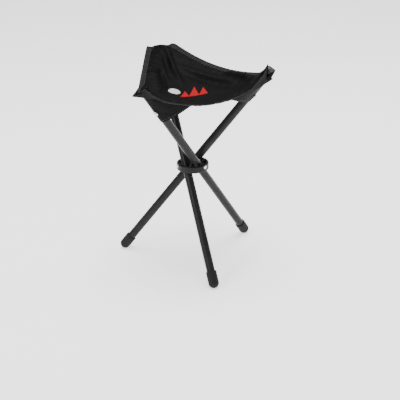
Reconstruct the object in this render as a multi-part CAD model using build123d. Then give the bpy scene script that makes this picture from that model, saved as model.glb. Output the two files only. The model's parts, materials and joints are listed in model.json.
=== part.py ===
from build123d import *

import math
import os

# Folding three leg stool, open, standing on its feet.  Millimetres, +Z up.
# The origin is on the floor, on the axis of three-fold symmetry.
# "s" is a distance along a leg from its pivot, positive towards the seat.

# --- driving dimensions -----------------------------------------------------
LEGS = ("a", "b", "c")
FIRST_PIVOT_AZIMUTH = -40.0
LEG_TILT = 37.8
PIVOT_RADIUS = 16.5

TUBE_OD = 19.0
TUBE_WALL = 1.2
TUBE_BOTTOM = -282.0
TUBE_TOP = 284.0

FOOT_OD = 24.0
FOOT_DOME_CENTRE = -280.0
FOOT_RIM = -253.0
FOOT_RIM_CHAMFER = 1.5

PLUG_HEAD = 5.0
PLUG_INSERT = 20.0
PLUG_EDGE = 4.0

HUB_OD = 73.5
HUB_WALL = 6.0
HUB_HEIGHT = 16.0
HUB_DROP = 3.0
HUB_RIM_RADIUS = 2.2
HUB_BOSS_FLAT = 29.5
HUB_BOSS_WIDTH = 15.0
HUB_CORE_INRADIUS = 5.0
HUB_CORE_RADIUS = 8.5
HUB_RIB = 3.6
HUB_RIB_TWIST = 12.5
HUB_INNER_HEIGHT = 13.0

RIVET_SHANK = 5.0
RIVET_INNER_END = 2.2
RIVET_HEAD_OD = 9.0
RIVET_HEAD = 2.2
RIVET_SEAT = 36.3
RIVET_RECESS_GAP = 0.3
RIVET_DOME = 0.8
RUNNING_CLEARANCE = 0.06

OUTER_WASHER_OD = 12.0
INNER_WASHER_OD = 8.6
WASHER_GAP = 0.2

SEAT_THICKNESS = 2.0
SEAT_CORNER_RADIUS = 213.0
SEAT_CORNER_HEIGHT = 234.4
BINDING_WIDTH = 4.5
BINDING_THICKNESS = 4.0

POCKET_THICKNESS = 1.0
POCKET_MOUTH = 195.0
POCKET_END = 287.0
POCKET_INSET = 0.96
POCKET_KEEL_HALF_WIDTH = 6.0
POCKET_KEEL_OFFSET = 10.0
FABRIC_GAP = 0.4

POCKET_RIVET_AT = 213.0
POCKET_RIVET_SHANK = 4.0
POCKET_RIVET_HEAD_OD = 8.0
POCKET_RIVET_HEAD = 1.6
POCKET_RIVET_TAIL_OD = 6.0
POCKET_RIVET_TAIL = 1.2
POCKET_RIVET_DOME = 0.7
TAIL_CLEARANCE = 0.1
POCKET_WASHER_OD = 13.0
POCKET_WASHER = 0.8

# --- derived sizes ----------------------------------------------------------
TILT = math.radians(LEG_TILT)
TUBE_R = TUBE_OD / 2
TUBE_INNER_R = TUBE_R - TUBE_WALL
FOOT_R = FOOT_OD / 2
HUB_R = HUB_OD / 2
PIVOT_HEIGHT = FOOT_R - FOOT_DOME_CENTRE * math.cos(TILT)
HUB_MID = PIVOT_HEIGHT - HUB_DROP
HUB_TOP = HUB_MID + HUB_HEIGHT / 2
HUB_INNER_R = HUB_R - HUB_WALL
CROSS_HOLE_R = RIVET_SHANK / 2 + RUNNING_CLEARANCE

# The seat's height depends on how close a point is to the nearest corner of
# the flat triangle: 1 at the tip, 1/2 at the middle of an edge, 1/3 at the
# centre.  The tip beyond the fold is a tail that lies over the leg's top end.
FOLD = 0.870
SHOULDER = 0.680
EDGE_MIDDLE = 1 / 2
CENTRE = 1 / 3
SEAT_DROP = {FOLD: 0.0, SHOULDER: 38.0, EDGE_MIDDLE: 52.0, CENTRE: 66.0}


def pivot_azimuth(index):
    return FIRST_PIVOT_AZIMUTH + 120.0 * index


def leg_frame(index):
    """Plane at a leg's pivot: Z runs up the leg, X points out along the pivot."""
    azimuth = math.radians(pivot_azimuth(index))
    outward = Vector(math.cos(azimuth), math.sin(azimuth), 0)
    sideways = Vector(math.sin(azimuth), -math.cos(azimuth), 0)
    upward = sideways * math.sin(TILT) + Vector(0, 0, math.cos(TILT))
    origin = outward * PIVOT_RADIUS + Vector(0, 0, PIVOT_HEIGHT)
    return Plane(origin=origin, x_dir=outward, z_dir=upward)


def pivot_frame(index):
    """Plane on the stool's axis at pivot height, Z out along the pivot."""
    azimuth = math.radians(pivot_azimuth(index))
    outward = (math.cos(azimuth), math.sin(azimuth), 0)
    return Plane(origin=(0, 0, PIVOT_HEIGHT), x_dir=(0, 0, 1), z_dir=outward)


def rod(radius, start, end):
    """Cylinder on the local Z axis between two heights."""
    return Pos(0, 0, start) * Cylinder(
        radius, end - start, align=(Align.CENTER, Align.CENTER, Align.MIN)
    )


def panel_solid(points, polygons, lift):
    """Close a sheet of flat polygons into a solid, by lifting it by a vector."""
    lifted = [point + lift for point in points]
    faces = []
    edge_uses = {}
    for polygon in polygons:
        faces.append([points[i] for i in reversed(polygon)])
        faces.append([lifted[i] for i in polygon])
        for start, end in zip(polygon, polygon[1:] + polygon[:1]):
            edge_uses.setdefault(frozenset((start, end)), []).append((start, end))
    for uses in edge_uses.values():
        if len(uses) == 1:
            start, end = uses[0]
            side = [points[start], points[end], lifted[end], lifted[start]]
            faces.append(side[:3])
            faces.append([side[0], side[2], side[3]])
    return Solid(Shell([Face(Wire.make_polygon(loop)) for loop in faces]))


# --- hub --------------------------------------------------------------------
def make_hub_ring():
    """Ring with a flat-faced boss inside it at each pivot."""
    ring = Cylinder(HUB_R, HUB_HEIGHT) - Cylinder(HUB_INNER_R, HUB_HEIGHT)
    ring = fillet(ring.edges().filter_by(GeomType.CIRCLE), HUB_RIM_RADIUS)
    boss_length = HUB_INNER_R + HUB_WALL / 2 - HUB_BOSS_FLAT
    boss_height = HUB_HEIGHT - 2 * HUB_RIM_RADIUS
    boss = Box(boss_length, HUB_BOSS_WIDTH, boss_height)
    for index in range(len(LEGS)):
        ring += Rot(0, 0, pivot_azimuth(index)) * Pos(HUB_BOSS_FLAT + boss_length / 2, 0, 0) * boss
    return Pos(0, 0, HUB_MID) * ring


def make_hub_core():
    """Three-sided core, rounded at its corners, with its flats to the pivots."""
    triangle = RegularPolygon(2 * HUB_CORE_INRADIUS, len(LEGS))
    triangle = Rot(0, 0, pivot_azimuth(0) + 60.0) * triangle
    section = triangle & Circle(HUB_CORE_RADIUS)
    return Pos(0, 0, HUB_TOP - HUB_INNER_HEIGHT) * extrude(section, HUB_INNER_HEIGHT)


def make_hub_rib():
    """Slanted rib that joins the core to the ring between two legs."""
    length = HUB_INNER_R + HUB_WALL / 2
    rib = Pos(length / 2, 0, 0) * Box(length, HUB_RIB, 2 * HUB_INNER_HEIGHT)
    rib = Pos(0, 0, PIVOT_HEIGHT) * Rot(HUB_RIB_TWIST, 0, 0) * rib
    trim = Box(2 * HUB_OD, 2 * HUB_OD, HUB_INNER_HEIGHT)
    return rib & Pos(0, 0, HUB_TOP - HUB_INNER_HEIGHT / 2) * trim


def make_hub():
    """One moulding: ring, core and ribs, drilled and recessed for the rivets."""
    hub = make_hub_ring() + make_hub_core()
    recess_r = RIVET_HEAD_OD / 2 + RIVET_RECESS_GAP
    for index in range(len(LEGS)):
        hub += Rot(0, 0, pivot_azimuth(index) + 60.0) * make_hub_rib()
    for index in range(len(LEGS)):
        hub -= pivot_frame(index) * rod(RIVET_SHANK / 2, RIVET_INNER_END, HUB_R + 1)
        hub -= pivot_frame(index) * rod(recess_r, RIVET_SEAT, HUB_R + 1)
    return hub


def make_pivot_rivet(index):
    """Domed rivet, from outside the ring through the tube into the core."""
    rivet = rod(RIVET_SHANK / 2, RIVET_INNER_END, RIVET_SEAT)
    head = rod(RIVET_HEAD_OD / 2, RIVET_SEAT, RIVET_SEAT + RIVET_HEAD)
    head = fillet(head.edges().group_by(Axis.Z)[-1], RIVET_DOME * RIVET_HEAD)
    return pivot_frame(index) * (rivet + head)


# --- legs -------------------------------------------------------------------
def pivot_hole(index):
    return pivot_frame(index) * rod(CROSS_HOLE_R, 0, HUB_R)


def pocket_rivet_frame(index):
    """Plane on a leg's axis where its pocket is riveted, Z to the underside."""
    frame = leg_frame(index)
    origin = frame.from_local_coords(Vector(0, 0, POCKET_RIVET_AT))
    return Plane(origin=origin, x_dir=frame.x_dir, z_dir=-frame.y_dir)


def make_tube(index):
    tube = rod(TUBE_R, TUBE_BOTTOM, TUBE_TOP) - rod(TUBE_INNER_R, TUBE_BOTTOM, TUBE_TOP)
    tube = leg_frame(index) * tube
    tube -= pivot_hole(index)
    tube -= pocket_rivet_frame(index) * rod(POCKET_RIVET_SHANK / 2, 0, TUBE_OD)
    return tube


def make_saddle_washers(index):
    """Spacers that seat the round tube between the core and the ring."""
    inner = rod(INNER_WASHER_OD / 2, HUB_CORE_INRADIUS + WASHER_GAP, PIVOT_RADIUS)
    outer = rod(OUTER_WASHER_OD / 2, PIVOT_RADIUS, HUB_BOSS_FLAT - WASHER_GAP)
    washers = pivot_frame(index) * (inner + outer)
    washers -= leg_frame(index) * rod(TUBE_R, -HUB_R, HUB_R)
    washers -= pivot_hole(index)
    return washers


def make_foot_cap(index):
    """Rubber tip: a straight sleeve with a domed end, blind on the tube."""
    sleeve = rod(FOOT_R, FOOT_DOME_CENTRE, FOOT_RIM)
    sleeve = chamfer(sleeve.edges().group_by(Axis.Z)[-1], FOOT_RIM_CHAMFER)
    dome = Pos(0, 0, FOOT_DOME_CENTRE) * Sphere(FOOT_R)
    cap = sleeve + dome - rod(TUBE_R, TUBE_BOTTOM, FOOT_RIM + TUBE_OD)
    return leg_frame(index) * cap


def make_top_plug(index):
    """Glide plug pushed into the tube's upper end."""
    head = rod(TUBE_R, TUBE_TOP, TUBE_TOP + PLUG_HEAD)
    head = fillet(head.edges().group_by(Axis.Z)[-1], PLUG_EDGE)
    return leg_frame(index) * (head + rod(TUBE_INNER_R, TUBE_TOP - PLUG_INSERT, TUBE_TOP))


# --- seat -------------------------------------------------------------------
def seat_corner_azimuth(index):
    """Direction of a leg's top end, seen from above."""
    top = leg_frame(index).from_local_coords(Vector(0, 0, TUBE_TOP))
    return math.degrees(math.atan2(top.Y, top.X))


def seat_point(closeness, side, index, corner_radius=SEAT_CORNER_RADIUS):
    """Underside point in one corner's third of the seat.

    side is 1 or -1 for the left or right edge, and 0 for the corner's own line.
    """
    fold_radius = corner_radius * (1.5 * FOLD - 0.5)
    radius = corner_radius * (1.5 * closeness - 0.5)
    half_width = corner_radius * 1.5 * (1 - closeness) * math.tan(math.radians(30))
    if closeness > FOLD:
        drop = (radius - fold_radius) * math.sin(TILT)
        radius = fold_radius + (radius - fold_radius) * math.cos(TILT)
    else:
        drop = SEAT_DROP[closeness]
    height = PIVOT_HEIGHT + SEAT_CORNER_HEIGHT - drop
    point = Vector(radius, side * half_width, height)
    return point.rotate(Axis.Z, seat_corner_azimuth(index))


def make_seat_panel():
    """Sagging triangle of cloth with a tail at each corner, in flat polygons."""
    count = len(LEGS)
    points = [seat_point(CENTRE, 0, 0)]
    points += [seat_point(EDGE_MIDDLE, 1, index) for index in range(count)]
    polygons = []
    for index in range(count):
        centre = 0
        left_middle = 1 + index
        right_middle = 1 + (index - 1) % count
        first = len(points)
        tip, left_fold, right_fold, left_shoulder, right_shoulder = range(first, first + 5)
        points.append(seat_point(1, 0, index))
        points += [seat_point(FOLD, side, index) for side in (1, -1)]
        points += [seat_point(SHOULDER, side, index) for side in (1, -1)]
        polygons.append([tip, left_fold, right_fold])
        polygons.append([left_fold, left_shoulder, right_shoulder, right_fold])
        polygons.append([left_shoulder, left_middle, right_middle, right_shoulder])
        polygons.append([left_middle, centre, right_middle])
    return panel_solid(points, polygons, Vector(0, 0, SEAT_THICKNESS))


def make_edge_binding(index):
    """Tape along the seat's edge, from one leg's tail to the next leg's."""
    following = (index + 1) % len(LEGS)
    stations = [(1, 1, index), (FOLD, 1, index), (SHOULDER, 1, index)]
    stations.append((EDGE_MIDDLE, 1, index))
    stations += [(SHOULDER, -1, following), (FOLD, -1, following), (1, -1, following)]
    outer_radius = SEAT_CORNER_RADIUS + 2 * BINDING_WIDTH
    below = Vector(0, 0, (BINDING_THICKNESS - SEAT_THICKNESS) / 2)
    inner = [seat_point(*station) - below for station in stations]
    outer = [seat_point(*station, outer_radius) - below for station in stations]
    polygons = []
    count = len(stations)
    for start in range(count - 1):
        end = start + 1
        polygons.append([start, count + start, count + end])
        polygons.append([start, count + end, end])
    return panel_solid(inner + outer, polygons, Vector(0, 0, BINDING_THICKNESS))


def make_corner_pocket(index):
    """Lower layer of a corner, hung from both edges and passing under the tube."""
    frame = leg_frame(index)
    points = []
    for closeness, along in ((SHOULDER, POCKET_MOUTH), (FOLD, POCKET_END)):
        edges = [
            seat_point(closeness, side * POCKET_INSET, index) - Vector(0, 0, FABRIC_GAP)
            for side in (1, -1)
        ]
        keel = [
            frame.from_local_coords(Vector(across, -POCKET_KEEL_OFFSET, along))
            for across in (-POCKET_KEEL_HALF_WIDTH, POCKET_KEEL_HALF_WIDTH)
        ]
        if (keel[0] - edges[0]).length > (keel[1] - edges[0]).length:
            keel.reverse()
        points += [edges[0], keel[0], keel[1], edges[1]]
    polygons = []
    for column in range(3):
        mouth, end = column, column + 4
        polygons.append([mouth, mouth + 1, end + 1])
        polygons.append([mouth, end + 1, end])
    pocket = panel_solid(points, polygons, -frame.y_dir * POCKET_THICKNESS)
    return pocket - pocket_rivet_frame(index) * rod(POCKET_RIVET_SHANK / 2, 0, TUBE_OD)


def make_pocket_washer(index):
    bottom = POCKET_KEEL_OFFSET + POCKET_THICKNESS
    washer = rod(POCKET_WASHER_OD / 2, bottom, bottom + POCKET_WASHER)
    washer -= rod(POCKET_RIVET_SHANK / 2, bottom, bottom + POCKET_WASHER)
    return pocket_rivet_frame(index) * washer


def make_pocket_rivet(index):
    """Rivet that fixes a pocket to its tube, with its tail inside the tube."""
    seat = POCKET_KEEL_OFFSET + POCKET_THICKNESS + POCKET_WASHER
    tail_r = POCKET_RIVET_TAIL_OD / 2
    tail_top = math.sqrt(TUBE_INNER_R**2 - tail_r**2) - TAIL_CLEARANCE
    head = rod(POCKET_RIVET_HEAD_OD / 2, seat, seat + POCKET_RIVET_HEAD)
    head = fillet(head.edges().group_by(Axis.Z)[-1], POCKET_RIVET_DOME * POCKET_RIVET_HEAD)
    tail_bottom = tail_top - POCKET_RIVET_TAIL
    shank = rod(POCKET_RIVET_SHANK / 2, tail_bottom, seat)
    tail = rod(tail_r, tail_bottom, tail_top)
    return pocket_rivet_frame(index) * (head + shank + tail)


# --- output -----------------------------------------------------------------
PER_LEG = {
    "pivot_rivet": make_pivot_rivet,
    "leg_tube": make_tube,
    "saddle_washers": make_saddle_washers,
    "foot_cap": make_foot_cap,
    "top_plug": make_top_plug,
    "corner_pocket": make_corner_pocket,
    "pocket_washer": make_pocket_washer,
    "pocket_rivet": make_pocket_rivet,
}


def make_nodes():
    nodes = {"hub": make_hub(), "seat_panel": make_seat_panel()}
    for index, letter in enumerate(LEGS):
        following = LEGS[(index + 1) % len(LEGS)]
        nodes[f"edge_binding_{letter}{following}"] = make_edge_binding(index)
        for name, make in PER_LEG.items():
            nodes[f"{name}_{letter}"] = make(index)
    return nodes


os.makedirs("parts", exist_ok=True)
for node, shape in make_nodes().items():
    export_step(shape, f"parts/{node}.step")
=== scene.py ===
import json
import math

import bpy
import numpy as np
from mathutils import Matrix, Vector


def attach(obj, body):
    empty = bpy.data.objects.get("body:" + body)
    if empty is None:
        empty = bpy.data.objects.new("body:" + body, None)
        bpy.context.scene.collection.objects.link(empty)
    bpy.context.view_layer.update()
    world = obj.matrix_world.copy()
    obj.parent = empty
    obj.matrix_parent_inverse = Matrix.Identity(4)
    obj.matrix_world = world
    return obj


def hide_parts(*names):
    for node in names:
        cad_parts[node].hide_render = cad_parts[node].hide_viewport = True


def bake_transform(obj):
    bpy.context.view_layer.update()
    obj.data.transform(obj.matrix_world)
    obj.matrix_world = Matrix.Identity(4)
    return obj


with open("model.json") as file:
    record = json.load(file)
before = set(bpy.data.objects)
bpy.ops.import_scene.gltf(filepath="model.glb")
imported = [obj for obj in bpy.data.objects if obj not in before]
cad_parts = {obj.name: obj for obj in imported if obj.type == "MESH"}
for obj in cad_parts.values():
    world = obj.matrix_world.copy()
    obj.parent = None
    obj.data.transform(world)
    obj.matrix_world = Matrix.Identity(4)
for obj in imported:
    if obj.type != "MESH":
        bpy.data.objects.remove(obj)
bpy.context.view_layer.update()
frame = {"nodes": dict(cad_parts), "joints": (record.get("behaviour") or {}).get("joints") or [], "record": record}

# Folding three leg stool. Metres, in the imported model's frame: +Z up, floor at z = 0.
# The seat is a triangle of cloth. Each corner's tail hangs past the end of a tube.

# --- seat pattern and drape ---------------------------------------------------
LETTERS = ("a", "b", "c")
EDGES = ("ab", "bc", "ca")
SEAT_SIDE = 0.390
SEAT_HEIGHT = SEAT_SIDE * math.cos(math.radians(30))
SEAT_ROWS = 102
ROW_HEIGHT = SEAT_HEIGHT / SEAT_ROWS
FLAT_CORNERS = np.array([(0, 0), (SEAT_SIDE, 0), (SEAT_SIDE / 2, SEAT_HEIGHT)])
FLAT_MIDDLE = FLAT_CORNERS.mean(0)
# Ends of the tails, and the places where each edge turns down into them, 1 on the left and
# -1 on the right: radius, offset to the left seen from the middle, height over the pivots.
TIPS = {"a": (0.208, -0.003, 0.217), "b": (0.180, 0.001, 0.203), "c": (0.190, 0.000, 0.196)}
SHOULDERS = {
    ("a", -1): (0.174, -0.012, 0.225),
    ("a", 1): (0.166, 0.023, 0.205),
    ("b", -1): (0.162, -0.022, 0.198),
    ("b", 1): (0.164, 0.020, 0.212),
    ("c", -1): (0.172, -0.031, 0.243),
    ("c", 1): (0.172, 0.031, 0.244),
}
EDGE_SAG = {"ab": 0.028, "bc": 0.023, "ca": 0.026}
EDGE_BULGE = {"ab": 0.003, "bc": 0.002, "ca": 0.006}
EDGE_BLUR = 0.011
EDGE_POINTS = 401
CENTRE_HEIGHT = 0.184
RELAX_ROUNDS = 3000
# The fold over each tube's end: rows in from the corner, height over the tube, where its
# peak lies on the way from the left edge to the right, and how blunt the peak is.
RIDGE_ROWS = {"a": 11, "b": 8, "c": 13}
RIDGE_LIFT = {"a": 0.0, "b": 0.0, "c": 0.004}
RIDGE_PEAK = {"a": 0.82, "b": 0.5, "c": 0.5}
RIDGE_SHAPE = {"a": 1.25, "b": 2.5, "c": 2.0}
# Folds in the cloth, in metres of the flat panel from its middle: start, end, width, height.
FOLDS = (
    ((0.014, 0.165), (0.000, 0.036), 0.006, 0.0060),
    ((0.004, 0.140), (-0.018, 0.060), 0.007, -0.0035),
    ((-0.028, 0.086), (-0.052, 0.004), 0.005, -0.0075),
    ((-0.052, 0.078), (-0.095, -0.034), 0.012, 0.0065),
    ((-0.074, 0.075), (-0.030, 0.083), 0.005, -0.0040),
    ((0.020, 0.098), (0.112, -0.030), 0.008, 0.0048),
    ((0.030, 0.060), (0.105, -0.052), 0.010, -0.0030),
    ((0.152, -0.062), (0.116, 0.000), 0.010, 0.0080),
    ((0.150, -0.092), (0.070, -0.078), 0.008, 0.0035),
    ((-0.140, -0.078), (-0.040, -0.070), 0.009, 0.0030),
)
FOLD_FADE = 0.2
FOLD_CLEAR_OF_EDGE = 0.008
CLOTH_LIFT = 0.0014
TUBE_CONTACT = 0.060
CLOTH_THICKNESS = 0.0009

# --- cloth simulation ----------------------------------------------------------
SIM_SCALE = 10.0
SIM_FRAMES = 40
SLACK = 0.022

# --- binding, pockets and stitches -----------------------------------------------
BINDING_REACH = 0.0105
BINDING_THICKNESS = 0.0007
BINDING_STEPS = 5
BINDING_GAP = 0.0001
BINDING_FOLD_REACH = 0.0006
POCKET_REACH = {"a": 0.155, "b": 0.124, "c": 0.138}
POCKET_MOUTH = {"a": 0.181, "b": 0.197, "c": 0.190}
POCKET_THICKNESS = 0.0009
POCKET_ROOM = 0.0009
STITCH_PITCH = 0.0044
STITCH_LENGTH = 0.0030
STITCH_RADIUS = 0.00038
STITCH_CORNERS = 6
# Rings of one stitch: place along it, thickness and depth in the cloth.
STITCH_RINGS = ((-0.5, 0.25, 0.35), (-0.3, 0.85, -0.1), (0.3, 0.85, -0.1), (0.5, 0.25, 0.35))
POCKET_END_SHARE = 0.64
POCKET_SAG = 0.004
POCKET_HALF_WIDTH = 0.06
POCKET_TIP_GAP = 0.001
POCKET_TIP_RADIUS = 0.0005

# --- print: plain peaks and a disc ----------------------------------------------------
PRINT_PLACE = (-0.011, -0.035)
PRINT_LEAN = 0.48
PRINT_LIFT = 0.0002
PRINT_DISC = (-0.025, 0.031, 0.015)
PRINT_PEAKS = ((-0.024, 0.026, 0.030), (-0.001, 0.030, 0.044), (0.026, 0.026, 0.032))

# --- camera --------------------------------------------------------------------------
CAMERA_TARGET = Vector((0.0155, -0.0332, 0.1563))
CAMERA_DISTANCE = 2.4187
CAMERA_ELEVATION = 23.32
CAMERA_ROLL = -0.86
CAMERA_LENS = 94.84
WORLD_STRENGTH = 0.5

UP = np.array((0.0, 0.0, 1.0))


def unit(vector):
    return vector / np.linalg.norm(vector, axis=-1, keepdims=True)


# --- the frame's legs -----------------------------------------------------------------
class Leg:
    """Axis and upper end of one leg, read from its joint, foot mount and plug."""

    def __init__(self, letter):
        joints = {joint["name"]: joint for joint in frame["joints"]}
        mounts = {mount["name"]: mount for mount in frame["record"]["mounts"]}
        joint = joints[f"leg_{letter}_fold"]
        self.letter = letter
        self.body = joint["child"]
        self.pivot = np.array(joint["pos_m"])
        self.lateral = -np.array(joint["axis"])
        self.axis = -np.array(mounts[f"foot_{letter}"]["axis"])
        self.upward = np.cross(self.axis, self.lateral)
        self.upward *= math.copysign(1, self.upward[2])
        self.basis = np.array([self.lateral, self.upward, self.axis])
        plug = frame["nodes"][f"top_plug_{letter}"].data
        points = self.local(np.array([vertex.co for vertex in plug.vertices]))
        self.end = float(points[:, 2].max())
        self.radius = float(points[:, 0].max())
        end = self.world(np.array([0.0, 0.0, self.end]))
        self.corner = unit(end * (1, 1, 0))
        self.sideways = np.cross(UP, self.corner)
        self.top = self.world(np.array([0.0, self.radius, self.end])) + UP * CLOTH_LIFT

    def local(self, points):
        """Coordinates across, up from and along the leg."""
        return (points - self.pivot) @ self.basis.T

    def world(self, points):
        return points @ self.basis + self.pivot

    def place(self, radius, offset, height):
        return self.corner * radius + self.sideways * offset + UP * (self.pivot[2] + height)


LEGS = {letter: Leg(letter) for letter in LETTERS}


# --- mesh helpers ------------------------------------------------------------------------
def make_mesh(name, points, faces):
    mesh = bpy.data.meshes.new(name)
    mesh.from_pydata([tuple(map(float, point)) for point in points], [], faces)
    mesh.update()
    piece = bpy.data.objects.new(name, mesh)
    bpy.context.scene.collection.objects.link(piece)
    return piece


def apply_modifiers(piece):
    graph = bpy.context.evaluated_depsgraph_get()
    mesh = bpy.data.meshes.new_from_object(piece.evaluated_get(graph))
    piece.modifiers.clear()
    piece.data = mesh
    for polygon in mesh.polygons:
        polygon.use_smooth = True
    return piece


def store_pattern(mesh, pattern):
    """Keep the flat place of each vertex, in metres, for the weave to follow."""
    layer = mesh.attributes.new("pattern", "FLOAT_VECTOR", "POINT")
    flat = np.zeros((len(mesh.vertices), 3), np.float32)
    flat[:, :2] = pattern
    layer.data.foreach_set("vector", flat.ravel())


def thicken(piece, thickness):
    solidify = piece.modifiers.new("thickness", "SOLIDIFY")
    solidify.thickness = thickness
    solidify.offset = 0.0
    return piece


def grid_faces(rows, columns):
    faces = []
    for row in range(rows - 1):
        for column in range(columns - 1):
            first = row * columns + column
            faces.append((first, first + 1, first + columns + 1, first + columns))
    return faces


def make_strip(name, points, pattern, thickness):
    """Sheet from a rows by columns array of points, closed to a thickness."""
    rows, columns = points.shape[:2]
    piece = make_mesh(name, points.reshape(-1, 3), grid_faces(rows, columns))
    store_pattern(piece.data, pattern.reshape(-1, 2))
    return apply_modifiers(thicken(piece, thickness))


# --- curves ----------------------------------------------------------------------------------
def length(points):
    return float(np.linalg.norm(np.diff(points, axis=0), axis=1).sum())


def along(points, shares):
    """Places at those shares of a polyline's length."""
    steps = np.linalg.norm(np.diff(points, axis=0), axis=1)
    travelled = np.concatenate([[0], np.cumsum(steps)])
    places = np.asarray(shares) * travelled[-1]
    return np.stack([np.interp(places, travelled, points[:, k]) for k in range(3)], 1)


def blur(points, reach):
    """Round a polyline's kinks by averaging along it, with its ends kept."""
    spacing = length(points) / (len(points) - 1)
    width = max(1, int(reach / spacing))
    kernel = np.ones(2 * width + 1) / (2 * width + 1)
    before = 2 * points[0] - points[width:0:-1]
    after = 2 * points[-1] - points[-2 : -width - 2 : -1]
    padded = np.concatenate([before, points, after])
    return np.stack([np.convolve(padded[:, k], kernel, "valid") for k in range(3)], 1)


# --- seat panel -----------------------------------------------------------------------------
def edge_curve(edge):
    """One sagging edge of the seat, from tail tip to tail tip."""
    first, last = LEGS[edge[0]], LEGS[edge[1]]
    start = first.place(*SHOULDERS[edge[0], 1])
    end = last.place(*SHOULDERS[edge[1], -1])
    outward = unit(first.corner + last.corner)
    share = np.linspace(0, 1, EDGE_POINTS)[:, None]
    hump = 4 * share * (1 - share)
    span = start * (1 - share) + end * share
    span = span + outward * EDGE_BULGE[edge] * hump - UP * EDGE_SAG[edge] * hump
    tips = [first.place(*TIPS[edge[0]])], [last.place(*TIPS[edge[1]])]
    points = along(np.concatenate([tips[0], span, tips[1]]), share[:, 0])
    return blur(blur(points, EDGE_BLUR), EDGE_BLUR)


def seat_grid():
    """Whole-number places of the seat's vertices, and its triangles."""
    rows = SEAT_ROWS
    places = [(i, j, rows - i - j) for i in range(rows + 1) for j in range(rows + 1 - i)]
    index = {place[:2]: n for n, place in enumerate(places)}
    faces = []
    for i, j, k in places:
        if k > 0:
            faces.append((index[i, j], index[i + 1, j], index[i, j + 1]))
        if k > 1:
            faces.append((index[i + 1, j], index[i + 1, j + 1], index[i, j + 1]))
    return np.array(places), faces, index


def pin_edges(places, points, fixed):
    for column, edge in enumerate(EDGES):
        first, opposite = column, (column + 2) % 3
        on_edge = places[:, opposite] == 0
        shares = (SEAT_ROWS - places[on_edge, first]) / SEAT_ROWS
        points[on_edge] = along(edge_curve(edge), shares)
        fixed[on_edge] = True


def pin_ridges(places, points, fixed):
    """Fold lines that cross the tubes' ends from one edge of a corner to the other."""
    for column, letter in enumerate(LETTERS):
        previous = (column + 2) % 3
        row = np.flatnonzero(places[:, column] == SEAT_ROWS - RIDGE_ROWS[letter])
        share = (places[row, previous] / RIDGE_ROWS[letter])[:, None]
        start = points[row[share[:, 0].argmin()]]
        end = points[row[share[:, 0].argmax()]]
        top = LEGS[letter].top + UP * RIDGE_LIFT[letter]
        peak = RIDGE_PEAK[letter]
        side = np.where(share < peak, peak, 1 - peak)
        arch = 1 - (np.abs(share - peak) / side) ** RIDGE_SHAPE[letter]
        below = start * (1 - peak) + end * peak
        points[row] = start * (1 - share) + end * share + (top - below) * arch
        fixed[row] = True


def lower_middle(places, points, fixed):
    """Sag as an even load makes it: none at the edges, all of it in the middle."""
    shares = places / SEAT_ROWS
    centre = (places == SEAT_ROWS // 3).all(1)
    depth = points[centre, 2] - LEGS["a"].pivot[2] - CENTRE_HEIGHT
    dip = 27 * shares.prod(1)
    points[~fixed, 2] -= (depth * dip)[~fixed]
    return points


def edge_pairs(faces):
    """Both ends of every edge of a mesh, each edge once."""
    corners = np.array(faces)
    pairs = np.concatenate([corners[:, (0, 1)], corners[:, (1, 2)], corners[:, (2, 0)]])
    return np.unique(np.sort(pairs, axis=1), axis=0)


def relax(points, fixed, pairs):
    """Move each free point to the middle of its neighbours, over and over."""
    degree = np.bincount(pairs.ravel(), minlength=len(points))[:, None]
    for _ in range(RELAX_ROUNDS):
        total = np.zeros_like(points)
        for k in range(3):
            total[:, k] = np.bincount(pairs[:, 0], points[pairs[:, 1], k], len(points))
            total[:, k] += np.bincount(pairs[:, 1], points[pairs[:, 0], k], len(points))
        points[~fixed] = (total / degree)[~fixed]
        resting = clear_tubes(points)
    return points, resting


def area_normals(points, faces):
    """Normal at each vertex of a sheet, weighted by its faces' areas."""
    corners = points[np.array(faces)]
    crosses = np.cross(corners[:, 1] - corners[:, 0], corners[:, 2] - corners[:, 0])
    normals = np.zeros_like(points)
    for corner in range(3):
        np.add.at(normals, np.array(faces)[:, corner], crosses)
    return unit(normals)


def clear_tubes(points):
    """Lift the cloth off the tubes' ends; also says which points rest on them."""
    resting = np.zeros(len(points), bool)
    for leg in LEGS.values():
        across, upward, run = leg.local(points).T
        room = leg.radius + CLOTH_LIFT
        stop = leg.end + CLOTH_LIFT
        inside = (np.hypot(across, upward) < room) & (run < stop) & (run > stop - TUBE_CONTACT)
        lift = np.sqrt(np.maximum(room**2 - across**2, 0)) - upward
        over = inside & (lift < stop - run)
        past = inside & ~over
        points[over] += leg.basis[1] * lift[over, None]
        points[past] += leg.basis[2] * (stop - run)[past, None]
        resting |= inside
    return resting


def hang(points, fixed, faces):
    """Let the slightly slack panel settle between its pinned places."""
    piece = make_mesh("hanging", points * SIM_SCALE, faces)
    pins = piece.vertex_groups.new(name="pins")
    pins.add([int(n) for n in np.flatnonzero(fixed)], 1.0, "REPLACE")
    cloth = piece.modifiers.new("cloth", "CLOTH")
    settings = cloth.settings
    settings.vertex_group_mass = "pins"
    settings.shrink_min = -SLACK
    settings.quality = 8
    settings.mass = 0.25
    settings.tension_stiffness = 60
    settings.compression_stiffness = 60
    settings.shear_stiffness = 25
    settings.bending_stiffness = 8.0
    settings.tension_damping = 10
    settings.compression_damping = 10
    settings.shear_damping = 10
    settings.bending_damping = 1.0
    settings.air_damping = 4
    cloth.collision_settings.use_collision = False
    cloth.point_cache.frame_start = 1
    cloth.point_cache.frame_end = SIM_FRAMES
    scene = bpy.context.scene
    for number in range(1, SIM_FRAMES + 1):
        scene.frame_set(number)
    graph = bpy.context.evaluated_depsgraph_get()
    result = piece.evaluated_get(graph).data
    hung = np.zeros(len(points) * 3)
    result.vertices.foreach_get("co", hung)
    bpy.data.objects.remove(piece)
    scene.frame_set(1)
    return hung.reshape(-1, 3) / SIM_SCALE


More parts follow.
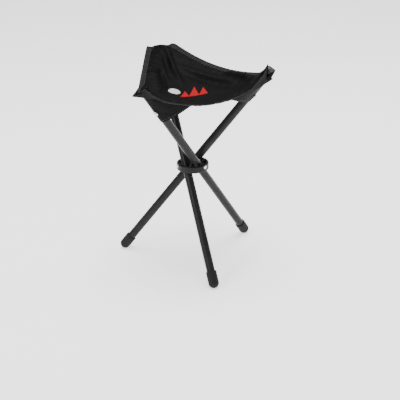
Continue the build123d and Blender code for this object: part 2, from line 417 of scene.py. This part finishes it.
def add_folds(pattern, places, faces, points):
    """Raise soft folds along lines drawn on the flat panel; its edges stay put."""
    normals = area_normals(points, faces)
    calm = np.clip(places.min(1) * ROW_HEIGHT / FOLD_CLEAR_OF_EDGE, 0, 1)
    flat = pattern - FLAT_MIDDLE
    for start, end, width, height in FOLDS:
        run = np.array(end) - start
        share = np.clip((flat - start) @ run / (run @ run), -FOLD_FADE, 1 + FOLD_FADE)
        away = np.linalg.norm(flat - start - share[:, None] * run, axis=1)
        from_end = np.minimum(share, 1 - share) + FOLD_FADE
        fade = np.clip(from_end / (2 * FOLD_FADE), 0, 1)
        rise = height * np.exp(-((away / width) ** 2)) * fade * fade * (3 - 2 * fade)
        points = points + normals * (rise * calm)[:, None]
    return points


def drape_seat():
    places, faces, index = seat_grid()
    pattern = (places / SEAT_ROWS) @ FLAT_CORNERS
    points = np.tile(UP * (LEGS["a"].pivot[2] + CENTRE_HEIGHT), (len(places), 1))
    fixed = np.zeros(len(places), bool)
    pin_edges(places, points, fixed)
    pin_ridges(places, points, fixed)
    points, resting = relax(points, fixed, edge_pairs(faces))
    points = lower_middle(places, points, fixed | resting)
    points = hang(points, fixed | resting, faces)
    points = add_folds(pattern, places, faces, points)
    clear_tubes(points)
    return places, faces, index, pattern, points


places, seat_faces, seat_index, pattern, draped = drape_seat()
normals = area_normals(draped, seat_faces)


def make_sector(column, letter):
    """The third of the seat nearest to one corner, closed to a thickness."""
    nearest = places[np.array(seat_faces)].sum(1).argmax(1)
    faces = [face for face, near in zip(seat_faces, nearest) if near == column]
    used = sorted(set(n for face in faces for n in face))
    count = len(used)
    renumber = {n: k for k, n in enumerate(used)}
    top = [tuple(renumber[n] for n in face) for face in faces]
    bottom = [tuple(n + count for n in reversed(face)) for face in top]
    ways = {(face[k], face[k - 2]) for face in top for k in range(3)}
    walls = [(end, start, start + count, end + count) for start, end in ways
             if (end, start) not in ways]
    half = normals[used] * CLOTH_THICKNESS / 2
    points = np.concatenate([draped[used] + half, draped[used] - half])
    piece = make_mesh(f"seat_panel_{letter}", points, top + bottom + walls)
    mesh = piece.data
    store_pattern(mesh, np.tile(pattern[used], (2, 1)))
    facing = np.concatenate([normals[used], -normals[used]])
    loops = []
    for polygon in mesh.polygons:
        flat = len(polygon.vertices) == 4
        polygon.use_smooth = not flat
        loops += [polygon.normal if flat else facing[n] for n in polygon.vertices]
    mesh.normals_split_custom_set([tuple(normal) for normal in loops])
    return piece


def finish_piece(piece, material):
    piece.data.materials.clear()
    piece.data.materials.append(material)
    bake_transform(piece)


# --- edge binding ---------------------------------------------------------------------------
def seat_row(edge, inset):
    """Vertices of the seat in one row parallel to an edge."""
    column = EDGES.index(edge)
    first, second, opposite = column, (column + 1) % 3, (column + 2) % 3
    row = []
    for step in range(SEAT_ROWS - inset + 1):
        place = [0, 0, 0]
        place[first] = SEAT_ROWS - inset - step
        place[second] = step
        place[opposite] = inset
        row.append(seat_index[place[0], place[1]])
    return draped[row]


def from_edge(edge, stations, reach):
    """Points of the seat's surface at a distance in from stations on its edge."""
    inset = reach / ROW_HEIGHT
    low = int(inset)
    share = inset - low
    total = 0
    for row, weight in ((low, 1 - share), (low + 1, share)):
        points = seat_row(edge, row)
        index = np.clip(stations - row / 2, 0, len(points) - 1)
        steps = np.arange(len(points))
        place = np.stack([np.interp(index, steps, points[:, k]) for k in range(3)], 1)
        total = total + weight * place
    return total


def binding_section(edge, stations):
    """Folded tape: over the top of the cloth's edge, round it and back below."""
    border = from_edge(edge, stations, 0.0)
    inside = from_edge(edge, stations, BINDING_REACH)
    tangent = unit(np.gradient(border, axis=0))
    inward = inside - border
    inward = unit(inward - tangent * (inward * tangent).sum(1, keepdims=True))
    normal = unit(np.cross(tangent, inward))
    lift = (CLOTH_THICKNESS + BINDING_THICKNESS) / 2 + BINDING_GAP
    reaches = np.linspace(BINDING_REACH, BINDING_FOLD_REACH, BINDING_STEPS)
    top = [from_edge(edge, stations, reach) + normal * lift for reach in reaches]
    bottom = [from_edge(edge, stations, reach) - normal * lift for reach in reaches[::-1]]
    fold = [border - inward * lift]
    around = np.concatenate([reaches, [-lift], -reaches[::-1] - 2 * lift])
    return np.stack(top + fold + bottom, 1), around


def make_binding(edge, half):
    """Half of an edge's tape, from the middle of the edge to one tip."""
    first, last = (0, SEAT_ROWS / 2) if half == 0 else (SEAT_ROWS / 2, SEAT_ROWS)
    stations = np.linspace(first, last, 120)
    points, around = binding_section(edge, stations)
    run = stations / SEAT_ROWS * SEAT_SIDE
    flat = np.stack(np.meshgrid(around, run), -1)
    return make_strip(f"edge_binding_{edge}_{edge[half]}", points, flat, BINDING_THICKNESS)


def stitch_points(centre, run, out, across):
    points = []
    for place, size, depth in STITCH_RINGS:
        middle = centre + run * place * STITCH_LENGTH - out * depth * STITCH_RADIUS
        for turn in range(STITCH_CORNERS):
            angle = 2 * math.pi * turn / STITCH_CORNERS
            ring = across * math.cos(angle) + out * math.sin(angle)
            points.append(middle + ring * size * STITCH_RADIUS)
    return points


def stitch_faces(base):
    """Faces of one closed stitch whose points start at that number."""
    turns = range(STITCH_CORNERS)
    last = base + (len(STITCH_RINGS) - 1) * STITCH_CORNERS
    faces = [tuple(base + turn for turn in reversed(turns)), tuple(last + turn for turn in turns)]
    for start in range(base, last, STITCH_CORNERS):
        after = start + STITCH_CORNERS
        for turn in turns:
            following = (turn + 1) % STITCH_CORNERS
            faces.append((start + turn, start + following, after + following, after + turn))
    return faces


def make_stitches(name, points, normals):
    """A row of thread stitches along a line of points on a surface."""
    total = length(points)
    count = int(total / STITCH_PITCH)
    shares = (np.arange(count) + 0.5) / count
    reach = 0.5 * STITCH_LENGTH / total
    centres = along(points, shares)
    facing = unit(along(normals, shares))
    ahead = along(points, np.clip(shares + reach, 0, 1))
    behind = along(points, np.clip(shares - reach, 0, 1))
    direction = unit(ahead - behind)
    side = unit(np.cross(direction, facing))
    vertices, faces = [], []
    for centre, run, out, across in zip(centres, direction, facing, side):
        faces += stitch_faces(len(vertices))
        vertices += stitch_points(centre, run, out, across)
    return make_mesh(name, vertices, faces)


def make_binding_stitches(edge, half):
    first, last = (1, SEAT_ROWS / 2) if half == 0 else (SEAT_ROWS / 2, SEAT_ROWS - 1)
    stations = np.linspace(first, last, 160)
    points, _ = binding_section(edge, stations)
    outer, inner = points[:, 0], points[:, 1]
    line = outer * 0.8 + inner * 0.2
    tangent = unit(np.gradient(line, axis=0))
    normal = unit(np.cross(tangent, outer - inner))
    line = line + normal * BINDING_THICKNESS * 0.5
    return make_stitches(f"binding_stitches_{edge}_{edge[half]}", line, normal)


# --- corner pockets -------------------------------------------------------------------------
def pocket_border(letter, side, distances):
    """Points under one edge of the seat, at distances from a corner's tip."""
    column = LETTERS.index(letter)
    edge = EDGES[column] if side > 0 else EDGES[column - 1]
    stations = distances / SEAT_SIDE * SEAT_ROWS
    if side < 0:
        stations = SEAT_ROWS - stations
    order = np.argsort(stations)
    points, _ = binding_section(edge, stations[order])
    lower = points[:, -2] * 0.6 + points[:, -3] * 0.4
    result = np.empty_like(lower)
    result[order] = lower
    return result


def tangent_angle(point, side, radius):
    """Where a string from that point first touches the underside of the tube."""
    distance = max(math.hypot(point[0], point[1]), radius * 1.001)
    angle = math.atan2(point[1], point[0])
    return angle - side * math.acos(radius / distance)


def pocket_row(leg, right, left, centre, radius, slack, columns):
    """One string of cloth: from the right edge, round below the tube, to the left."""
    start = tangent_angle(leg.local(right) - centre, -1, radius) % (2 * math.pi)
    stop = tangent_angle(leg.local(left) - centre, 1, radius) % (2 * math.pi)
    if stop < start:
        stop += 2 * math.pi
    angles = np.linspace(start, stop, columns)
    ring = np.stack([np.cos(angles), np.sin(angles), np.zeros(columns)], 1) * radius + centre
    ring = leg.world(ring)
    share = np.linspace(0, 1, columns, endpoint=False)[:, None]
    sag = np.sin(np.pi * share) * POCKET_SAG * slack
    down = -leg.basis[1]
    first = right * (1 - share) + ring[0] * share + down * sag
    last = ring[-1] + (left - ring[-1]) * (share + 1 / columns) + down * sag[::-1]
    return np.concatenate([first, ring, last])


def pocket_points(letter, rows=56, columns=14):
    leg = LEGS[letter]
    mouth = POCKET_MOUTH[letter]
    shares = np.linspace(0, 1, rows)
    distances = POCKET_REACH[letter] * (1 - shares) + POCKET_TIP_GAP
    right = pocket_border(letter, -1, distances)
    left = pocket_border(letter, 1, distances)
    tip = leg.local((right[-1] + left[-1]) / 2)
    radius = leg.radius + POCKET_ROOM
    result = []
    for share, start, stop in zip(shares, right, left):
        if share < POCKET_END_SHARE:
            run = share / POCKET_END_SHARE
            centre = np.array([0, 0, mouth + (leg.end - mouth) * run])
            size = radius
        else:
            run = (share - POCKET_END_SHARE) / (1 - POCKET_END_SHARE)
            centre = np.array([0, 0, leg.end]) * (1 - run) + tip * run
            size = radius * (1 - run) + POCKET_TIP_RADIUS * run
        result.append(pocket_row(leg, start, stop, centre, size, 1 - share, columns))
    return np.array(result), shares


def make_pocket(letter):
    points, shares = pocket_points(letter)
    columns = points.shape[1]
    across = np.linspace(-POCKET_HALF_WIDTH, POCKET_HALF_WIDTH, columns)
    flat = np.stack(np.meshgrid(across, shares * POCKET_REACH[letter]), -1)
    return make_strip(f"pocket_cloth_{letter}", points, flat, POCKET_THICKNESS)


def make_pocket_stitches(letter):
    """Stitching of the hem along the pocket's mouth."""
    points, _ = pocket_points(letter)
    line = points[2]
    ahead = points[3] - points[1]
    normal = unit(np.cross(np.gradient(line, axis=0), ahead))
    outward = -LEGS[letter].basis[1]
    normal *= np.sign((normal * outward).sum(1, keepdims=True))
    line = line + normal * POCKET_THICKNESS * 0.5
    return make_stitches(f"pocket_stitches_{letter}", line, normal)


# --- print on the seat ------------------------------------------------------------------------
def on_seat(flat):
    """Points of the draped seat for places in the flat pattern."""
    third = flat[:, 1] / SEAT_HEIGHT
    second = flat[:, 0] / SEAT_SIDE - third / 2
    first = 1 - second - third
    scaled = np.stack([first, second, third], 1) * SEAT_ROWS
    whole = np.floor(scaled).astype(int)
    part = scaled - whole
    result = np.zeros((len(flat), 3))
    for n, (base, rest) in enumerate(zip(whole, part)):
        rising = SEAT_ROWS - base.sum() == 1
        weights = rest if rising else 1 - rest
        for column in range(3):
            place = base.copy() if rising else base + 1
            place[column] += 1 if rising else -1
            result[n] += draped[seat_index[place[0], place[1]]] * weights[column]
    return result


def print_shape(name, outline, rows=10, columns=14):
    """Thin ink patch that lies on the cloth; outline maps shares to print places."""
    grid = [outline(u, v) for v in np.linspace(0, 1, rows) for u in np.linspace(0, 1, columns)]
    flat = np.array(grid) + PRINT_PLACE + FLAT_MIDDLE
    step = 0.002
    points = on_seat(flat)
    normal = unit(np.cross(on_seat(flat + (step, 0)) - points, on_seat(flat + (0, step)) - points))
    points = points + normal * (CLOTH_THICKNESS / 2 + PRINT_LIFT)
    piece = make_mesh(name, points, grid_faces(rows, columns))
    store_pattern(piece.data, flat)
    return apply_modifiers(thicken(piece, PRINT_LIFT))


def peak(left, width, height):
    """Outline of a plain triangle standing on the print's base line."""

    def outline(u, v):
        middle = left + width * 0.5 + PRINT_LEAN * height * v
        return (middle + width * (u - 0.5) * (1 - v), height * v)

    return outline


def disc(x, y, radius):
    """Outline of a plain disc, swept from its middle."""

    def outline(u, v):
        angle = 2 * math.pi * u
        return (x + radius * v * math.cos(angle), y + radius * v * math.sin(angle))

    return outline


# --- materials ---------------------------------------------------------------------------------
def new_material(name, color, roughness, **sockets):
    material = bpy.data.materials.new(name)
    material.use_nodes = True
    shader = material.node_tree.nodes["Principled BSDF"]
    shader.inputs["Base Color"].default_value = (*color, 1)
    shader.inputs["Roughness"].default_value = roughness
    for socket, value in sockets.items():
        shader.inputs[socket.replace("_", " ")].default_value = value
    return material


def add_node(material, kind, **inputs):
    node = material.node_tree.nodes.new(kind)
    for name, value in inputs.items():
        node.inputs[name.replace("_", " ")].default_value = value
    return node


def link(material, source, target):
    material.node_tree.links.new(source, target)


def shader_of(material):
    return material.node_tree.nodes["Principled BSDF"]


def place_of(material, on_pattern):
    if on_pattern:
        attribute = add_node(material, "ShaderNodeAttribute")
        attribute.attribute_name = "pattern"
        return attribute.outputs["Vector"]
    return add_node(material, "ShaderNodeTexCoord").outputs["Object"]


def noise(material, place, scale, detail=3.0):
    texture = add_node(material, "ShaderNodeTexNoise", Scale=scale, Detail=detail)
    link(material, place, texture.inputs["Vector"])
    return texture.outputs["Fac"]


def ramp(material, source, low, high, first, last):
    node = add_node(material, "ShaderNodeValToRGB")
    node.color_ramp.elements[0].position = low
    node.color_ramp.elements[1].position = high
    node.color_ramp.elements[0].color = (*first, 1)
    node.color_ramp.elements[1].color = (*last, 1)
    link(material, source, node.inputs["Fac"])
    return node.outputs["Color"]


def grey(value):
    return (value, value, value)


def math_node(material, operation, first, second):
    node = add_node(material, "ShaderNodeMath")
    node.operation = operation
    for socket, value in zip(node.inputs, (first, second)):
        if isinstance(value, float):
            socket.default_value = value
        else:
            link(material, value, socket)
    return node.outputs["Value"]


def bump(material, height, distance, strength=1.0, after=None):
    node = add_node(material, "ShaderNodeBump", Strength=strength, Distance=distance)
    link(material, height, node.inputs["Height"])
    if after is not None:
        link(material, after, node.inputs["Normal"])
    link(material, node.outputs["Normal"], shader_of(material).inputs["Normal"])
    return node.outputs["Normal"]


def weave(material, place, pitch):
    """Plain weave: threads that run both ways and pass over and under."""
    split = add_node(material, "ShaderNodeSeparateXYZ")
    link(material, place, split.inputs["Vector"])
    waves = []
    for axis in ("X", "Y"):
        scaled = math_node(material, "MULTIPLY", split.outputs[axis], math.pi / pitch)
        waves.append(math_node(material, "SINE", scaled, 0.0))
    crossing = math_node(material, "MULTIPLY", waves[0], waves[1])
    return math_node(material, "ABSOLUTE", crossing, 0.0), crossing


def make_cloth_material(name, dark, light, pitch, roughness, sheen):
    material = new_material(name, dark, roughness, Sheen_Weight=sheen, Sheen_Roughness=0.3,
                            Specular_IOR_Level=0.06)
    place = place_of(material, True)
    threads, crossing = weave(material, place, pitch)
    cloudy = noise(material, place, 38.0)
    fine = noise(material, place, 900.0)
    mixed = math_node(material, "MULTIPLY", threads, fine)
    mixed = math_node(material, "ADD", mixed, math_node(material, "MULTIPLY", cloudy, 0.5))
    color = ramp(material, mixed, 0.15, 0.85, dark, light)
    link(material, color, shader_of(material).inputs["Base Color"])
    rough = ramp(material, cloudy, 0.3, 0.7, grey(roughness - 0.08), grey(roughness + 0.1))
    link(material, rough, shader_of(material).inputs["Roughness"])
    first = bump(material, noise(material, place, 120.0, 2.0), 0.0006, 0.35)
    bump(material, crossing, pitch * 0.22, 0.55, first)
    return material


def make_tape_material():
    """Grosgrain tape: ribs across the tape and a fine frayed mottle, the same over its rolled fold as elsewhere.
    """
    material = new_material("binding_grosgrain", (0.05, 0.05, 0.052), 0.62, Sheen_Weight=0.01,
                            Sheen_Roughness=0.4, Specular_IOR_Level=0.06)
    place = place_of(material, True)
    split = add_node(material, "ShaderNodeSeparateXYZ")
    link(material, place, split.inputs["Vector"])
    ribs = math_node(material, "SINE",
                     math_node(material, "MULTIPLY", split.outputs["Y"], 2 * math.pi / 0.0011), 0.0)
    fray = noise(material, place, 1400.0)
    tone = math_node(material, "ADD", math_node(material, "MULTIPLY", ribs, 0.18), fray)
    color = ramp(material, tone, 0.25, 0.85, (0.013, 0.013, 0.014), (0.036, 0.036, 0.038))
    link(material, color, shader_of(material).inputs["Base Color"])
    first = bump(material, noise(material, place, 160.0, 2.0), 0.0005, 0.4)
    bump(material, ribs, 0.00022, 0.8, first)
    return material


def make_hard_material(name, dark, light, roughness, spread, grain, depth, **sockets):
    """Moulded or coated surface: mottled tone, uneven gloss and a fine grain."""
    material = new_material(name, dark, roughness, **sockets)
    place = place_of(material, False)
    mottle = noise(material, place, 45.0, 4.0)
    color = ramp(material, mottle, 0.3, 0.75, dark, light)
    link(material, color, shader_of(material).inputs["Base Color"])
    smear = noise(material, place, 130.0, 5.0)
    rough = ramp(material, smear, 0.3, 0.7, grey(roughness - spread), grey(roughness + spread))
    link(material, rough, shader_of(material).inputs["Roughness"])
    bump(material, noise(material, place, grain, 2.0), depth, 0.5)
    return material


def make_foot_material():
    """Rubber with pale scuffs that fade out above the domed end."""
    material = make_hard_material("foot_rubber_worn", (0.010, 0.010, 0.011), (0.022, 0.022, 0.023),
                                  0.62, 0.1, 1200.0, 0.0002, Specular_IOR_Level=0.15)
    place = place_of(material, False)
    split = add_node(material, "ShaderNodeSeparateXYZ")
    link(material, place, split.inputs["Vector"])
    low = ramp(material, math_node(material, "MULTIPLY", split.outputs["Z"], 60.0),
               0.0, 1.0, grey(1.0), grey(0.0))
    scuff = math_node(material, "MULTIPLY", low, noise(material, place, 420.0, 4.0))
    color = ramp(material, scuff, 0.35, 0.62, (0.013, 0.013, 0.014), (0.09, 0.085, 0.08))
    link(material, color, shader_of(material).inputs["Base Color"])
    return material


def make_plated_material():
    return make_hard_material("plated_steel_bright", (0.55, 0.55, 0.54), (0.72, 0.72, 0.70),
                              0.24, 0.08, 2200.0, 0.00008, Metallic=1.0)


def make_ink_material(name, dark, light):
    material = new_material(name, dark, 0.55, Specular_IOR_Level=0.1)
    place = place_of(material, True)
    threads, crossing = weave(material, place, 0.0009)
    worn = math_node(material, "ADD", math_node(material, "MULTIPLY", threads, 0.4),
                     noise(material, place, 500.0))
    color = ramp(material, worn, 0.3, 0.9, dark, light)
    link(material, color, shader_of(material).inputs["Base Color"])
    bump(material, crossing, 0.00015, 0.5)
    return material


def make_thread_material():
    material = new_material("sewing_thread", (0.035, 0.035, 0.037), 0.55, Sheen_Weight=0.2)
    place = place_of(material, False)
    twist = noise(material, place, 3000.0)
    color = ramp(material, twist, 0.3, 0.7, (0.022, 0.022, 0.024), (0.07, 0.07, 0.073))
    link(material, color, shader_of(material).inputs["Base Color"])
    bump(material, twist, 0.0001, 0.6)
    return material


def dress_cad_nodes():
    hub = make_hard_material("hub_nylon", (0.007, 0.007, 0.008), (0.014, 0.014, 0.015),
                             0.36, 0.08, 900.0, 0.00015, Specular_IOR_Level=0.15)
    tube = make_hard_material("tube_powder_coat", (0.013, 0.013, 0.014), (0.021, 0.021, 0.022),
                              0.30, 0.06, 2600.0, 0.00012, Specular_IOR_Level=0.12)
    washer = make_hard_material("washer_nylon_dark", (0.05, 0.05, 0.05), (0.07, 0.07, 0.07),
                                0.4, 0.06, 1500.0, 0.0001)
    plug = make_hard_material("plug_moulded", (0.02, 0.02, 0.02), (0.035, 0.035, 0.035),
                              0.45, 0.06, 1500.0, 0.0001)
    foot = make_foot_material()
    plated = make_plated_material()
    looks = {"hub": hub, "leg_tube": tube, "saddle_washers": washer, "top_plug": plug,
             "foot_cap": foot, "pivot_rivet": plated, "pocket_rivet": plated,
             "pocket_washer": plated}
    for name, node in frame["nodes"].items():
        kind = name if name in looks else name[:-2]
        if kind in looks:
            for slot in node.material_slots:
                slot.material = looks[kind]


# --- soft pieces, built here; the imported seat, bindings and pockets are hidden ------------
def add_seat():
    cloth = make_cloth_material("seat_polyester", (0.0009, 0.0009, 0.0010),
                                (0.0034, 0.0034, 0.0037), 0.0009, 0.50, 0.004)
    for column, letter in enumerate(LETTERS):
        sector = make_sector(column, letter)
        finish_piece(sector, cloth)
        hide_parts("seat_panel")


def add_bindings(thread):
    tape = make_tape_material()
    for edge in EDGES:
        for half, letter in enumerate(edge):
            binding = make_binding(edge, half)
            finish_piece(binding, tape)
            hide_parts(f"edge_binding_{edge}")
            stitches = make_binding_stitches(edge, half)
            finish_piece(stitches, thread)


def add_pockets(thread):
    cloth = make_cloth_material("pocket_polyester", (0.0008, 0.0008, 0.0009),
                                (0.0028, 0.0028, 0.0031), 0.0008, 0.55, 0.004)
    for letter in LETTERS:
        pocket = make_pocket(letter)
        finish_piece(pocket, cloth)
        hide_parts(f"corner_pocket_{letter}")
        stitches = make_pocket_stitches(letter)
        finish_piece(stitches, thread)


def add_print():
    red = make_ink_material("ink_red", (0.26, 0.001, 0.003), (0.42, 0.003, 0.006))
    white = make_ink_material("ink_white", (0.50, 0.45, 0.45), (0.74, 0.70, 0.70))
    shapes = {"print_disc": (disc(*PRINT_DISC), white)}
    for number, (left, width, height) in enumerate(PRINT_PEAKS):
        shapes[f"print_peak_{number + 1}"] = (peak(left, width, height), red)
    for name, (outline, ink) in shapes.items():
        piece = print_shape(name, outline)
        piece.data.materials.append(ink)
        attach(piece, "hub")


# --- stage, light and camera ---------------------------------------------------------------
def make_floor():
    size = 30.0
    corners = [(-size, -size, 0), (size, -size, 0), (size, size, 0), (-size, size, 0)]
    floor = make_mesh("floor", corners, [(0, 1, 2, 3)])
    white = new_material("floor_white", (0.95, 0.95, 0.95), 0.9, Specular_IOR_Level=0.0,
                         Emission_Color=(1, 1, 1, 1), Emission_Strength=1.2)
    floor.data.materials.append(white)


def make_area_light(name, place, aim, size, power):
    lamp = bpy.data.lights.new(name, "AREA")
    lamp.shape = "RECTANGLE"
    lamp.size, lamp.size_y = size
    lamp.energy = power
    light = bpy.data.objects.new(name, lamp)
    light.location = place
    direction = Vector(aim) - Vector(place)
    light.rotation_euler = direction.to_track_quat("-Z", "Y").to_euler()
    bpy.context.scene.collection.objects.link(light)


def make_world():
    world = bpy.data.worlds.new("studio")
    world.use_nodes = True
    background = world.node_tree.nodes["Background"]
    background.inputs["Color"].default_value = (1, 1, 1, 1)
    background.inputs["Strength"].default_value = WORLD_STRENGTH
    bpy.context.scene.world = world


def make_camera():
    elevation = math.radians(CAMERA_ELEVATION)
    forward = Vector((0, math.cos(elevation), -math.sin(elevation)))
    data = bpy.data.cameras.new("camera")
    data.lens = CAMERA_LENS
    data.sensor_width = 36.0
    camera = bpy.data.objects.new("camera", data)
    turn = forward.to_track_quat("-Z", "Y").to_matrix()
    roll = Matrix.Rotation(math.radians(CAMERA_ROLL), 3, "Z")
    place = Matrix.Translation(CAMERA_TARGET - forward * CAMERA_DISTANCE)
    camera.matrix_world = place @ (turn @ roll).to_4x4()
    bpy.context.scene.collection.objects.link(camera)
    bpy.context.scene.camera = camera


dress_cad_nodes()
add_seat()
sewing_thread = make_thread_material()
add_bindings(sewing_thread)
add_pockets(sewing_thread)
add_print()
make_floor()
make_world()
make_area_light("overhead", (0.0, 0.3, 3.0), (0, 0, 0.0), (1.8, 1.8), 110)
make_area_light("key", (-1.8, -1.6, 1.9), (0, 0, 0.3), (0.5, 1.0), 30)
make_area_light("rim", (1.9, 0.8, 1.5), (0, 0, 0.3), (0.3, 1.6), 9)
make_camera()
